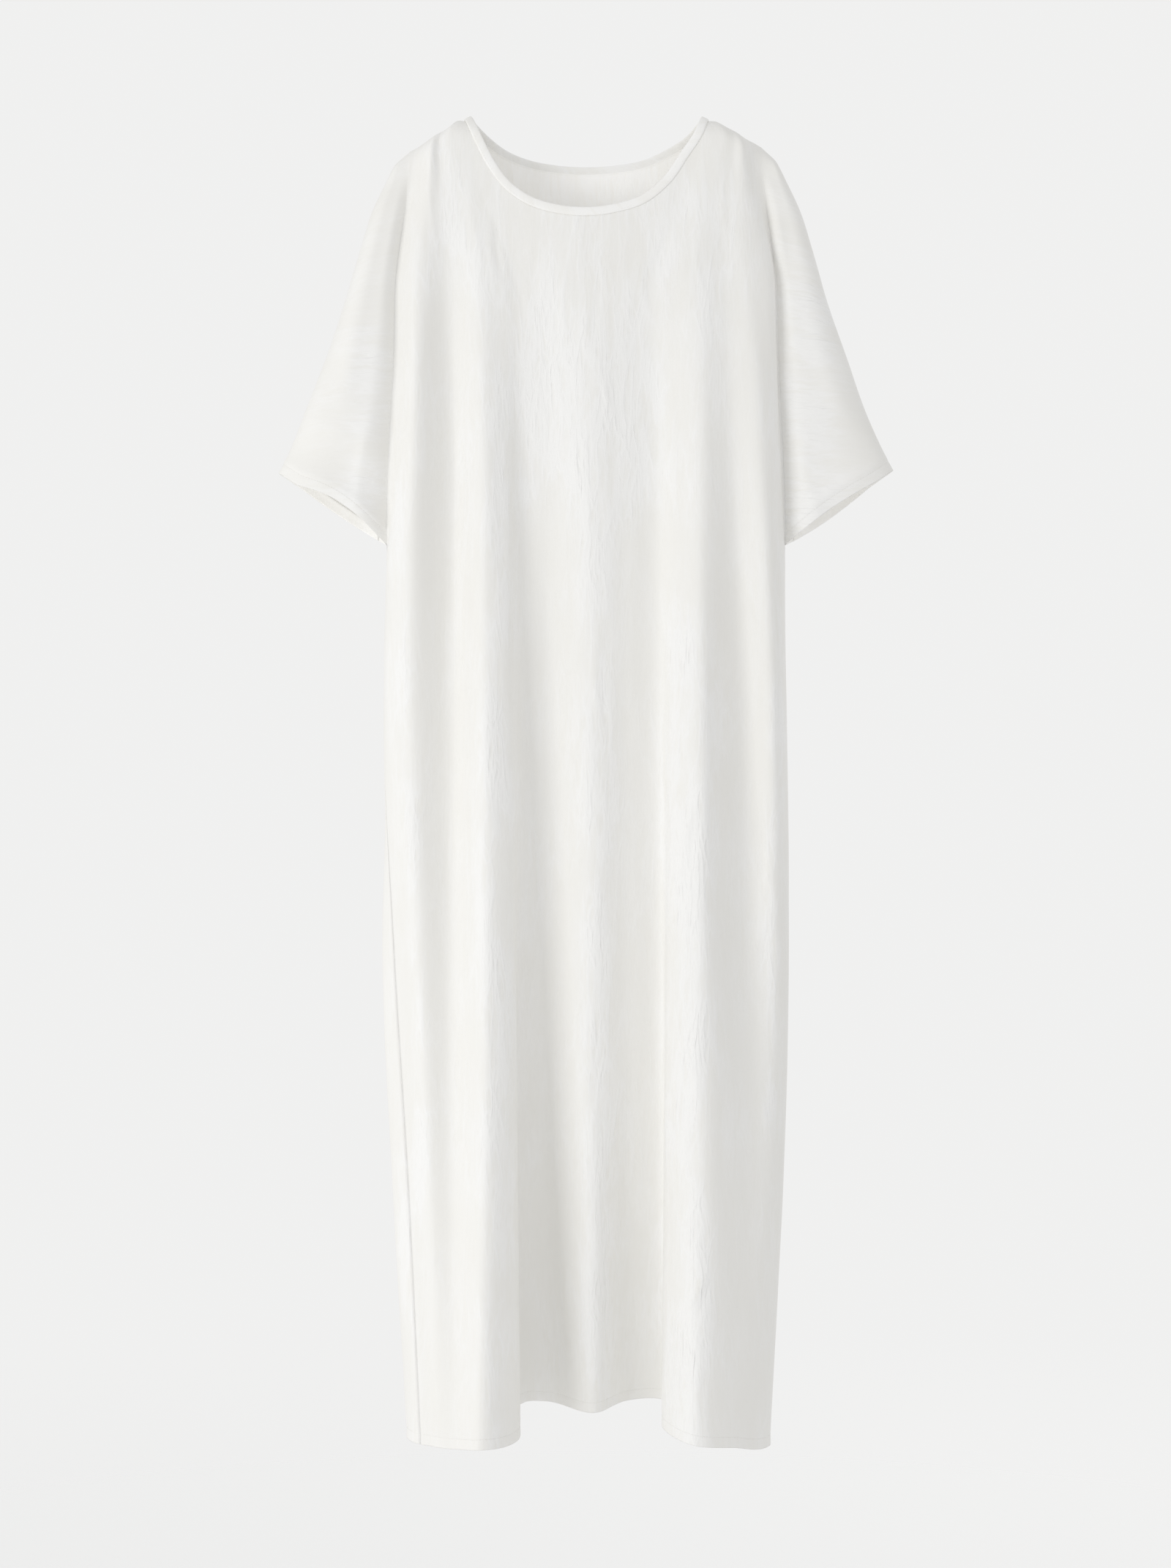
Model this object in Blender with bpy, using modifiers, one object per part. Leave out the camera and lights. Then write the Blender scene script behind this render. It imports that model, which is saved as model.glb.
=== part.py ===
"""A long white abaya with elbow-length batwing sleeves, hanging from its shoulders.

Metres, +Z up, +X to the right of the picture, the front towards -Y. The origin is midway
between the two shoulder-neck points, at the height where a hanger bears the garment.
The front and the back are each cut in one piece with their half of both sleeves. They meet
at the shoulder and over-sleeve seams, and at the side seams below the underarm points. A
narrow binding finishes the round neck, and the hem and the cuffs are turned up inside.
"""
import bpy
import numpy as np

# The wall of each piece and the clearances between pieces
CLOTH_WALL = 0.0012
FOLD_WALL = 0.0010
BINDING_WALL = 0.0018
SEAM_GAP = 0.0003
BINDING_WIDTH = 0.0075
BINDING_CORNER = (1.28, 0.52)
HEM_DEPTH = 0.0106
CUFF_DEPTH = 0.0110
FOLD_LIFT = 0.0008
HEM_ENDS = 3
CUFF_ENDS = 3

# Heights that divide the garment, below the shoulder-neck points
UNDERARM_Z = -0.440
SHOULDER_ROUND = 0.022

# The folds hang between these heights
LEVEL_Z = (-0.105, -0.255, -0.633, -1.010, -1.350)

# Fold lines of the front, from the wearer's right side seam to the left one, in mm:
# the place across (x) and the depth (y) at yoke, bust, hip, knee and hem, then the hem's height.
FRONT_FOLDS = (
    ("side ridge",        (-172, -176, -180, -163, -148), (-28, -36, -34, -42, -58), -1358),
    ("side hollow",       (-141, -137, -136, -138, -130), (-27, -18, -17, -38, -68), -1357),
    ("left lobe crest",   (-108, -104, -100, -98, -106),  (-29, -38, -54, -72, -92), -1352),
    ("left lobe edge",    (-87, -84, -78, -72, -69),      (-28, -32, -44, -52, -54), -1352),
    ("left recess",       (-70, -67, -62, -67, -66),      (-28, -25, -17, -8, 28),   -1333),
    ("recess floor",      (-49, -47, -44, -46, -44),      (-28, -24, -13, -2, 34),   -1332),
    ("centre ridge",      (4, 6, 8, 6, 8),                (-30, -33, -31, -26, -6),  -1335),
    ("right floor",       (33, 40, 47, 49, 47),           (-28, -28, -18, -4, 40),   -1332),
    ("right recess",      (62, 70, 76, 78, 78),           (-28, -25, -14, 2, 44),    -1332),
    ("right lobe edge",   (86, 91, 89, 83, 80),           (-29, -33, -38, -42, -46), -1343),
    ("right lobe crest",  (112, 116, 114, 112, 109),      (-30, -42, -54, -68, -90), -1348),
    ("right hollow",      (138, 147, 161, 171, 151),      (-28, -35, -20, -33, -66), -1356),
    ("right side ridge",  (165, 175, 191, 194, 177),      (-27, -37, -34, -22, -36), -1365),
)

# Fold lines of the back, from the same side, in the same columns.
BACK_FOLDS = (
    ("side ridge",        (-170, -172, -178, -172, -161), (21, 27, 36, 38, 40),   -1352),
    ("side hollow",       (-135, -137, -136, -129, -121), (22, 20, 22, 16, 6),    -1352),
    ("left lobe",         (-100, -100, -84, -74, -67),    (22, 30, 48, 74, 100),  -1339),
    ("left groove",       (-64, -59, -46, -37, -27),      (22, 22, 32, 50, 76),   -1338),
    ("centre lobe",       (-20, -14, 0, 5, 9),            (23, 32, 50, 70, 98),   -1344),
    ("right groove",      (30, 38, 43, 46, 48),           (22, 22, 32, 50, 78),   -1338),
    ("right lobe",        (80, 80, 81, 81, 80),           (22, 30, 48, 74, 102),  -1339),
    ("right hollow",      (122, 125, 133, 133, 125),      (22, 20, 22, 18, 10),   -1354),
    ("right side ridge",  (160, 164, 176, 176, 170),      (21, 27, 38, 38, 40),   -1360),
)

# The sides, in mm, by height: the seam or, above the underarm, the floor of the hollow between
# body and sleeve (front and back), then the body's edge ridge on the front and on the back.
SIDE_Z = (-40, -75, -105, -255, -360, -425, -440, -485, -540, -633, -860, -1090, -1350)
SIDES = {
    -1: {
        "seam x": (-181, -192, -194, -197, -203, -205, -205, -206, -208, -209, -197, -182, -168),
        "seam y": (0, 0, 0, 0, 1, 3, 3, 5, 8, 5, -16, -26, -44),
        "front floor": (16, 17, 17, 19, 17, 10, 3, 0.3, 0.15, 0, 0, 0, 0),
        "back floor": (13, 12, 9, 9, 8, 6, 2, 0.3, 0.15, 0, 0, 0, 0),
        "front edge x": (-170, -180, -183, -185, -191, -199, -202, -204, -206, -204, -184, -169, -157),
        "front edge y": (-20, -22, -23, -26, -24, -17, -14, -11, -9, -13, -28, -36, -51),
        "back edge x": (-175, -184, -187, -191, -196, -200, -201, -202, -204, -205, -210, -200, -184),
        "back edge y": (14, 14, 14, 18, 17, 16, 16, 18, 22, 22, 2, -2, -14),
    },
    1: {
        "seam x": (182, 193, 195, 199, 204, 206, 206, 206, 206, 208, 210, 204, 190),
        "seam y": (0, 0, 0, 0, 1, 3, 4, 6, 8, 10, 10, 10, 6),
        "front floor": (15, 13, 8, 8, 8, 8, 2, 0.3, 0.15, 0, 0, 0, 0),
        "back floor": (13, 12, 9, 9, 8, 6, 2, 0.3, 0.15, 0, 0, 0, 0),
        "front edge x": (176, 185, 188, 193, 199, 203, 204, 205, 206, 207, 209, 203, 190),
        "front edge y": (-17, -18, -18, -24, -22, -14, -12, -9, -8, -8, -7, -9, -14),
        "back edge x": (176, 184, 187, 191, 197, 200, 201, 201, 201, 203, 205, 198, 184),
        "back edge y": (14, 14, 14, 18, 17, 16, 17, 20, 24, 28, 30, 28, 22),
    },
}
HEM_AT_SEAM = {-1: -1358, 1: -1366}

# The shoulder seam and the over-sleeve seam, outwards, in mm (x, z)
SHOULDERS = {
    -1: ((-124, -3), (-137, -11), (-155, -20), (-173, -30), (-181, -34)),
    1: ((126, -3), (144, -11), (162, -20), (177, -27), (182, -30)),
}
OVER_SLEEVES = {
    -1: ((-197, -48), (-206, -66), (-220, -96), (-232, -134), (-249, -190), (-268, -247),
         (-290, -304), (-305, -342), (-317, -366)),
    1: ((197, -44), (205, -60), (222, -96), (234, -134), (250, -190), (270, -247),
        (290, -304), (307, -342), (318, -363)),
}

# The line where the binding is sewn on, in mm (x, z), from one shoulder to the other
NECK_FRONT = ((-124, -3), (-111, -32), (-99, -55), (-82, -77), (-59, -93), (-31, -102),
              (2, -105), (33, -101), (60, -92), (86, -71), (104, -45), (119, -22), (126, -3))
NECK_BACK = ((-124, -3), (-104, -21), (-84, -35), (-62, -44), (-32, -50), (2, -52),
             (34, -50), (64, -44), (88, -33), (110, -19), (126, -3))

# The sleeve: how far its front and back stand out, in mm, from the shoulder tip to the cuff,
# and how far the cuff's edge hangs above (+) or below (-) the straight line at its inner half
SLEEVE_REACH = (0, 0.06, 0.15, 0.4, 0.7, 0.95, 1)
SLEEVE_SWELL = {"front": (0, 0, 7, 11, 15, 21, 27), "back": (0, 1, 6, 9, 12, 15, 18)}
CUFF_LIFT = {("front", -1): 11, ("front", 1): 4, ("back", -1): -2, ("back", 1): -4}

# The seam's corner at each shoulder tip is eased open by this much
TIP_EASE = 0.0006
TIP_EASE_REACH = 0.02

# How finely each surface is divided
TOP_ROWS = (0, 0.00015, 0.0022, 0.0065, 0.0127, 0.022)
EDGE_ROW = 0.00015
CORNER_CROWDING = 0.12
CORNER_LEAN = 0.016
CORNER_SPREAD = 1.1
UPPER_ROWS = 8
LOWER_ROWS = 15
FRONT_COLUMNS = (3, 3, 3, 3, 3, 4, 2, 3, 3, 2, 4, 3, 3, 3, 3, 3)
BACK_COLUMNS = (3, 3, 4, 4, 3, 3, 3, 3, 4, 4, 3, 3)
SLEEVE_COLUMNS = (0.05, 0.13, 0.25, 0.42, 0.62, 0.8, 0.92, 0.985, 0.998, 1)

CLOTH_COLOUR = (0.86, 0.855, 0.83, 1)
BINDING_COLOUR = (0.84, 0.83, 0.80, 1)
CLOTH_ROUGHNESS = 0.85
MM = 0.001
SIGN = {"front": -1, "back": 1}


def smooth(knots, values, at):
    """A cubic through the values at rising knots, level beyond both ends."""
    knots = np.asarray(knots, float)
    values = np.asarray(values, float)
    slopes = np.gradient(values, knots)
    at = np.clip(at, knots[0], knots[-1])
    i = np.clip(np.searchsorted(knots, at, side="right") - 1, 0, len(knots) - 2)
    step = knots[i + 1] - knots[i]
    t = (at - knots[i]) / step
    rise = (values[i + 1] - values[i]) * t * t * (3 - 2 * t)
    return values[i] + rise + step * t * (1 - t) * (slopes[i] * (1 - t) - slopes[i + 1] * t)


def by_height(heights, values, z):
    """The same for a table that is listed from the top down."""
    return smooth(np.asarray(heights[::-1], float), values[::-1], z)


def along(points, place):
    """Points (sample, station, 2) joined by a smooth curve, read at a station number each."""
    before, here = points[:, :-1], points[:, 1:]
    span = np.linalg.norm(here - before, axis=2) + 1e-6
    heading = (here - before) / span[..., None]
    first, last = span[:, :-1, None], span[:, 1:, None]
    slope = (last * heading[:, :-1] + first * heading[:, 1:]) / (first + last)
    i = np.clip(np.floor(place).astype(int), 0, slope.shape[1] - 2)
    t = (place - i)[:, None]
    row = np.arange(len(place))
    start, end = points[row, i + 1], points[row, i + 2]
    length = span[row, i + 1][:, None]
    ease = t * t * (3 - 2 * t)
    lean = t * (1 - t) * (slope[row, i] * (1 - t) - slope[row, i + 1] * t)
    return start + (end - start) * ease + length * lean


def folds_of(face):
    return FRONT_FOLDS if face == "front" else BACK_FOLDS


def stations(face, z):
    """The fold lines of one face at each height z, with a point beyond each side seam."""
    other = "back" if face == "front" else "front"
    below = z < UNDERARM_Z
    columns = []
    for side in (-1, 1):
        table = SIDES[side]
        read = {name: by_height(SIDE_Z, table[name], z / MM) for name in table}
        opening = np.interp(-z / MM, -np.array(SIDE_Z), table[f"{face} floor"])
        floor = (read["seam x"], read["seam y"] + SIGN[face] * opening)
        edge = (read[f"{face} edge x"], read[f"{face} edge y"])
        past_x = np.where(below, read[f"{other} edge x"], read["seam x"] + side * 12)
        past_y = np.where(below, read[f"{other} edge y"], floor[1] + SIGN[face] * 9)
        column = [(past_x, past_y), floor, edge]
        columns.append(column if side == -1 else column[::-1])
    middle = []
    for _, across, depth, _ in folds_of(face):
        middle.append((by_height(LEVEL_Z, across, z), by_height(LEVEL_Z, depth, z)))
    every = columns[0] + middle + columns[1]
    return np.stack([np.stack(point, axis=1) for point in every], axis=1) * MM


def polyline_read(points, share):
    """A smooth line through (x, z) points in mm, read at shares of its length."""
    points = np.array(points, float) * MM
    run = np.concatenate(([0], np.cumsum(np.linalg.norm(np.diff(points, axis=0), axis=1))))
    at = np.asarray(share) * run[-1]
    return np.stack((smooth(run, points[:, 0], at), smooth(run, points[:, 1], at)), axis=1)


def neck_stations(face):
    """The first and the last fold line whose top lies at the neck's corners."""
    return 4, len(folds_of(face)) - 1


def places(face):
    """Station numbers of the columns, with one just inside each seam."""
    columns = FRONT_COLUMNS if face == "front" else BACK_COLUMNS
    out = [0, 0.12]
    for i, count in enumerate(columns):
        out += [i + k / count for k in range(1, count + 1)]
    out.insert(-1, len(columns) - 0.12)
    return np.array(out)


def neck_share(face, place):
    """The share of the neck line at a station number, in shorter steps by the shoulders."""
    first, last = neck_stations(face)
    columns = places(face)
    columns = columns[(columns >= first) & (columns <= last)]
    even = np.linspace(0, 1, len(columns))
    return np.interp(place, columns, even - CORNER_CROWDING * np.sin(2 * np.pi * even))


def top_edge(face, place):
    """The cut edge that each column starts from, and the height of the line that bears it."""
    first, last = neck_stations(face)
    count = len(folds_of(face)) + 3
    neck = NECK_FRONT if face == "front" else NECK_BACK
    out = np.zeros((len(place), 2))
    left = place < first
    right = place > last
    middle = ~left & ~right
    out[left] = polyline_read(SHOULDERS[-1], 1 - place[left] / first)
    out[right] = polyline_read(SHOULDERS[1], (place[right] - last) / (count - last))
    out[middle] = polyline_read(neck, neck_share(face, place[middle]))
    bearing = np.where(middle, neck[0][1] * MM, out[:, 1])
    return out, bearing


def rounding(depth):
    """How far the cloth has come off the top of the shoulder, from 0 to 1."""
    inside = np.clip(1 - depth / SHOULDER_ROUND, 0, 1)
    return np.sqrt(1 - inside ** 2)


def hem_height(face, place):
    drops = [HEM_AT_SEAM[-1], HEM_AT_SEAM[-1]] + [fold[3] for fold in folds_of(face)]
    drops += [HEM_AT_SEAM[1], HEM_AT_SEAM[1]]
    return smooth(np.arange(len(drops)), np.array(drops) * MM, place)


def corner_fan(face, place):
    """How far the cloth below each neck corner leans out, evenly less along the shoulder."""
    first, last = neck_stations(face)
    leans = []
    for inwards in (place - first, last - place):
        beside_neck = np.exp(-(inwards / CORNER_SPREAD) ** 2)
        along_shoulder = np.clip(1 + inwards / first, 0, 1)
        leans.append(np.where(inwards > 0, beside_neck, along_shoulder))
    return CORNER_LEAN * (leans[1] - leans[0])


def body_points(face, place, row):
    """Points of one face at a station number and a row number each, on the cloth's outside."""
    top, bearing = top_edge(face, place)
    upper_count = len(TOP_ROWS) - 1 + UPPER_ROWS
    from_bearing = np.interp(row, np.arange(len(TOP_ROWS)), TOP_ROWS)
    least = EDGE_ROW * np.minimum(row, len(TOP_ROWS) - 1)
    near_top = np.maximum(from_bearing - (bearing - top[:, 1]), least)
    fall = np.clip((row - len(TOP_ROWS) + 1) / UPPER_ROWS, 0, 1)
    z = top[:, 1] - near_top
    z = z + (UNDERARM_Z - z) * fall
    sink = np.clip((row - upper_count) / LOWER_ROWS, 0, 1)
    z = z + (hem_height(face, place) - UNDERARM_Z) * sink
    xy = along(stations(face, z), place)
    settle = np.clip((top[:, 1] - z) / 0.16, 0, 1)
    settle = settle * settle * (3 - 2 * settle)
    fan = corner_fan(face, place) * (rounding(bearing - z) - rounding(bearing - top[:, 1]))
    x = top[:, 0] + (xy[:, 0] - top[:, 0]) * settle + fan * (1 - settle)
    y = xy[:, 1] * rounding(bearing - z) + SIGN[face] * SEAM_GAP / 2
    return np.stack((x, y, z), axis=1)


def sleeve_points(face, side, root, reach, out):
    """Points of a sleeve's half, from the hollow beside the body out to the upper seam."""
    seam_line = np.array(OVER_SLEEVES[side], float) * MM
    tip_z = seam_line[0, 1] + (seam_line[-1, 1] - seam_line[0, 1]) * reach
    tip_x = by_height(seam_line[:, 1], seam_line[:, 0], tip_z)
    x = root[:, 0] + (tip_x - root[:, 0]) * out
    z = root[:, 2] + (tip_z - root[:, 2]) * out
    belly = np.sin(np.pi * np.clip(out / 0.8, 0, 1)) * CUFF_LIFT[(face, side)] * MM
    z = z + belly * reach ** 6
    swell = smooth(SLEEVE_REACH, SLEEVE_SWELL[face], reach) * MM
    rise = 1 - (1 - np.clip(out / 0.3, 0, 1)) ** 2
    close = np.sqrt(1 - np.clip((out - 0.55) / 0.45, 0, 1) ** 2)
    gap = SIGN[face] * (SEAM_GAP / 2 + TIP_EASE * out * np.exp(-reach / TIP_EASE_REACH))
    y = gap + (root[:, 1] - gap + SIGN[face] * swell * rise) * close
    return np.stack((x, y, z), axis=1)


def add_grid(faces, grid, outward):
    """Faces over a grid of vertex numbers, facing outwards."""
    rows, columns = grid.shape
    for r in range(rows - 1):
        for c in range(columns - 1):
            loop = [grid[r, c], grid[r + 1, c], grid[r + 1, c + 1], grid[r, c + 1]]
            faces.append(loop if outward else loop[::-1])


def panel_surface(face):
    """The outside of one face with both its sleeve halves: points, faces, edge rows."""
    columns = places(face)
    upper_count = len(TOP_ROWS) - 1 + UPPER_ROWS
    row_count = upper_count + LOWER_ROWS + 1
    place, row = np.meshgrid(columns, np.arange(row_count, dtype=float))
    body = body_points(face, place.ravel(), row.ravel())
    verts = [tuple(point) for point in body]
    grid = np.arange(len(body)).reshape(place.shape)
    faces = []
    add_grid(faces, grid, face == "front")
    cuffs = {}
    for side in (-1, 1):
        column = grid[:upper_count + 1, 0 if side == -1 else -1]
        root = body[column]
        reach = (root[:, 2] - root[0, 2]) / (UNDERARM_Z - root[0, 2])
        sleeve = [column]
        for out in SLEEVE_COLUMNS:
            points = sleeve_points(face, side, root, reach, np.full(len(root), out))
            numbers = np.arange(len(points)) + len(verts)
            verts += [tuple(point) for point in points]
            sleeve.append(numbers)
        sleeve_grid = np.stack(sleeve, axis=1)
        add_grid(faces, sleeve_grid, (face == "front") == (side == 1))
        cuffs[side] = sleeve_grid[-2:]
    return np.array(verts), faces, grid, cuffs


def crepe(name, colour):
    """The matte white cloth as a material of its own for one object."""
    made = bpy.data.materials.new(name)
    made.use_nodes = True
    shader = made.node_tree.nodes["Principled BSDF"]
    shader.inputs["Base Color"].default_value = colour
    shader.inputs["Roughness"].default_value = CLOTH_ROUGHNESS
    shader.inputs["Metallic"].default_value = 0
    made.diffuse_color = colour
    return made


def add_cloth(name, verts, faces, wall, offset, colour):
    """An open surface as a named object, with its wall inside (-1) or outside (1) of it."""
    used = sorted({v for loop in faces for v in loop})
    renumber = {old: new for new, old in enumerate(used)}
    mesh = bpy.data.meshes.new(name)
    points = [tuple(verts[v]) for v in used]
    mesh.from_pydata(points, [], [[renumber[v] for v in loop] for loop in faces])
    mesh.shade_smooth()
    mesh.materials.append(crepe(f"{name}_crepe", colour))
    cloth = bpy.data.objects.new(name, mesh)
    collection.objects.link(cloth)
    shell = cloth.modifiers.new("wall", "SOLIDIFY")
    shell.thickness = wall
    shell.offset = offset
    return cloth


def turned_edge(name, verts, last_rows, depth, outward):
    """The cloth turned up inside a panel's edge, made from the panel's last two rows."""
    above, edge = verts[last_rows[0]], verts[last_rows[1]]
    height = np.linalg.norm(above - edge, axis=1)[:, None]
    rises = (depth, depth / 2, FOLD_LIFT)
    points = np.concatenate([edge + (above - edge) / height * rise for rise in rises])
    faces = []
    add_grid(faces, np.arange(len(points)).reshape(len(rises), len(edge)), outward)
    middle = CLOTH_WALL + SEAM_GAP + FOLD_WALL / 2
    add_cloth(name, points, faces, FOLD_WALL, -2 * middle / FOLD_WALL, CLOTH_COLOUR)


def panels_and_turned_edges():
    """The front and the back, each with its turned-up hem and its two turned-up cuffs."""
    for face in ("front", "back"):
        verts, faces, body, cuffs = panel_surface(face)
        add_cloth(f"{face}_panel", verts, faces, CLOTH_WALL, -1, CLOTH_COLOUR)
        hem = body[-2:, HEM_ENDS:-HEM_ENDS]
        turned_edge(f"{face}_hem_fold", verts, hem, HEM_DEPTH, face == "front")
        for side, label in ((-1, "left"), (1, "right")):
            cuff = cuffs[side][:, CUFF_ENDS:-CUFF_ENDS]
            outward = (face == "front") == (side == 1)
            turned_edge(f"{face}_cuff_fold_{label}", verts, cuff, CUFF_DEPTH, outward)


def binding_rows(face, shares):
    """One half of the binding: rows from the sewn line to the finished edge of the neck."""
    first, last = neck_stations(face)
    place = places(face)
    place = place[(place >= first) & (place <= last)]
    seam, bearing = top_edge(face, place)
    heading = np.gradient(seam, axis=0)
    heading /= np.linalg.norm(heading, axis=1)[:, None]
    inwards = np.stack((-heading[:, 1], heading[:, 0]), axis=1)
    inwards[0] = BINDING_CORNER
    inwards[-1] = (-BINDING_CORNER[0], BINDING_CORNER[1])
    rows = []
    for share in shares:
        line = seam + inwards * (SEAM_GAP + BINDING_WIDTH * share)
        xy = along(stations(face, np.minimum(line[:, 1], bearing)), place)
        y = xy[:, 1] * rounding(np.maximum(bearing - line[:, 1], 0))
        rows.append(np.stack((line[:, 0], y, line[:, 1]), axis=1))
    return rows


def neck_binding():
    """One strip round the whole neck, a little proud of the panels."""
    shares = (0, 0.35, 0.7, 1)
    halves = zip(binding_rows("front", shares), binding_rows("back", shares))
    rings = [np.concatenate((front, back[::-1][1:-1])) for front, back in halves]
    verts = np.concatenate(rings)
    count = len(rings[0])
    faces = []
    for r in range(len(rings) - 1):
        for c in range(count):
            d = (c + 1) % count
            low, high = r * count, (r + 1) * count
            faces.append([low + c, low + d, high + d, high + c])
    inner_share = CLOTH_WALL / BINDING_WALL
    add_cloth("neck_binding", verts, faces, BINDING_WALL, 1 - 2 * inner_share, BINDING_COLOUR)


for old in list(bpy.data.objects):
    bpy.data.objects.remove(old)
collection = bpy.data.collections.new("abaya")
bpy.context.scene.collection.children.link(collection)
panels_and_turned_edges()
neck_binding()
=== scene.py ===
"""A long white crinkled-crepe abaya with batwing sleeves, hanging open and empty.

Metres, +Z up, +X to the right of the picture, the front towards -Y. The origin is midway
between the two shoulder-neck points.
"""
import bpy
import numpy as np
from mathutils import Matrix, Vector


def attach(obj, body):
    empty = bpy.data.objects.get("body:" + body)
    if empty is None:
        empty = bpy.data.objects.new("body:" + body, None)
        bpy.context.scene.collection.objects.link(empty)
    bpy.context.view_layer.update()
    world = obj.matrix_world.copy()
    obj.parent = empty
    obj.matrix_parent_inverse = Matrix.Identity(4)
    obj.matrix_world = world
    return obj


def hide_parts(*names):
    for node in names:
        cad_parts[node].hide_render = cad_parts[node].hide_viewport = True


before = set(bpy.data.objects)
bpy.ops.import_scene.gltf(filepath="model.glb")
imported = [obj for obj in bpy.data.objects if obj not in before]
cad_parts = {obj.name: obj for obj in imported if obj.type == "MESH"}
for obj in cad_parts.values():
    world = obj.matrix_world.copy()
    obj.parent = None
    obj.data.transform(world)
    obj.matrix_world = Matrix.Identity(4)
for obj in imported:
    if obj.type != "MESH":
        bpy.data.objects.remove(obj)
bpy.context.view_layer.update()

# Front panel
# One cut of white crinkled crepe from shoulder to hem, with the front half of both sleeves in
# one with it. It hangs from the shoulder seams in two deep lobes with a recess between them.
# Heights and widths in metres: the underarm, how the cloth rounds over the shoulder, how it
# leans beside the neck (reach in stations) and settles into its folds, and its wall
MM = 0.001
SIGN = {"front": -1, "back": 1}
UNDERARM_Z = -0.440
SHOULDER_ROUND = 0.022
CORNER_LEAN = 0.016
CORNER_REACH = 1.1
NECK_SPREAD = 0.10
SETTLE_HEIGHT = 0.16
CLOTH_THICKNESS = 0.0009

# The folds: place across (x) and depth (y) in mm at yoke, bust, hip, knee and hem, hem height
LEVEL_Z = (-0.105, -0.255, -0.633, -1.010, -1.350)
FOLDS = {
    "front": (
        ("side ridge",        (-172, -176, -180, -163, -148), (-28, -36, -34, -42, -58), -1358),
        ("side hollow",       (-141, -137, -136, -138, -130), (-27, -18, -17, -38, -68), -1357),
        ("left lobe crest",   (-108, -104, -100, -98, -106),  (-29, -38, -54, -72, -92), -1352),
        ("left lobe edge",    (-87, -84, -78, -72, -69),      (-28, -32, -44, -52, -54), -1352),
        ("left recess",       (-70, -67, -62, -67, -66),      (-28, -25, -17, -8, 28),   -1333),
        ("recess floor",      (-49, -47, -44, -46, -44),      (-28, -24, -13, -2, 34),   -1332),
        ("centre ridge",      (4, 6, 8, 6, 8),                (-30, -33, -31, -26, -6),  -1335),
        ("right floor",       (33, 40, 47, 49, 47),           (-28, -28, -18, -4, 40),   -1332),
        ("right recess",      (62, 70, 76, 78, 78),           (-28, -25, -14, 2, 44),    -1332),
        ("right lobe edge",   (86, 91, 89, 83, 80),           (-29, -33, -38, -42, -46), -1343),
        ("right lobe crest",  (112, 116, 114, 112, 109),      (-30, -42, -54, -68, -90), -1348),
        ("right hollow",      (138, 147, 161, 171, 151),      (-28, -35, -20, -33, -66), -1356),
        ("right side ridge",  (165, 175, 191, 194, 177),      (-27, -37, -34, -22, -36), -1365),
    ),
    "back": (
        ("side ridge",        (-170, -172, -178, -172, -161), (21, 27, 36, 38, 40),      -1352),
        ("side hollow",       (-135, -137, -136, -129, -121), (22, 20, 22, 16, 6),       -1352),
        ("left lobe",         (-100, -100, -84, -74, -67),    (22, 30, 48, 74, 100),     -1339),
        ("left groove",       (-64, -59, -46, -37, -27),      (22, 22, 32, 50, 76),      -1338),
        ("centre lobe",       (-20, -14, 0, 5, 9),            (23, 32, 50, 70, 98),      -1344),
        ("right groove",      (30, 38, 43, 46, 48),           (22, 22, 32, 50, 78),      -1338),
        ("right lobe",        (80, 80, 81, 81, 80),           (22, 30, 48, 74, 102),     -1339),
        ("right hollow",      (122, 125, 133, 133, 125),      (22, 20, 22, 18, 10),      -1354),
        ("right side ridge",  (160, 164, 176, 176, 170),      (21, 27, 38, 38, 40),      -1360),
    ),
}

# The sides in mm by height: side seam (above the underarm, the hollow between body and sleeve)
# and the body's edge ridge on the front and on the back
SIDE_Z = (-40, -75, -105, -255, -360, -425, -440, -485, -540, -633, -860, -1090, -1350)
SIDES = {
    -1: {
        "seam x": (-181, -192, -194, -197, -203, -205, -205, -206, -208, -209, -197, -182, -168),
        "seam y": (0, 0, 0, 0, 1, 3, 3, 5, 8, 5, -16, -26, -44),
        "front floor": (16, 17, 17, 19, 17, 10, 3, 0.3, 0.15, 0, 0, 0, 0),
        "back floor": (13, 12, 9, 9, 8, 6, 2, 0.3, 0.15, 0, 0, 0, 0),
        "front edge x": (-170, -180, -183, -185, -191, -199, -202, -204, -206, -204, -184, -169,
                         -157),
        "front edge y": (-20, -22, -23, -26, -24, -17, -14, -11, -9, -13, -28, -36, -51),
        "back edge x": (-175, -184, -187, -191, -196, -200, -201, -202, -204, -205, -210, -200,
                        -184),
        "back edge y": (14, 14, 14, 18, 17, 16, 16, 18, 22, 22, 2, -2, -14),
    },
    1: {
        "seam x": (182, 193, 195, 199, 204, 206, 206, 206, 206, 208, 210, 204, 190),
        "seam y": (0, 0, 0, 0, 1, 3, 4, 6, 8, 10, 10, 10, 6),
        "front floor": (15, 13, 8, 8, 8, 8, 2, 0.3, 0.15, 0, 0, 0, 0),
        "back floor": (13, 12, 9, 9, 8, 6, 2, 0.3, 0.15, 0, 0, 0, 0),
        "front edge x": (176, 185, 188, 193, 199, 203, 204, 205, 206, 207, 209, 203, 190),
        "front edge y": (-17, -18, -18, -24, -22, -14, -12, -9, -8, -8, -7, -9, -14),
        "back edge x": (176, 184, 187, 191, 197, 200, 201, 201, 201, 203, 205, 198, 184),
        "back edge y": (14, 14, 14, 18, 17, 16, 17, 20, 24, 28, 30, 28, 22),
    },
}
HEM_AT_SEAM = {-1: -1358, 1: -1366}

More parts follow.
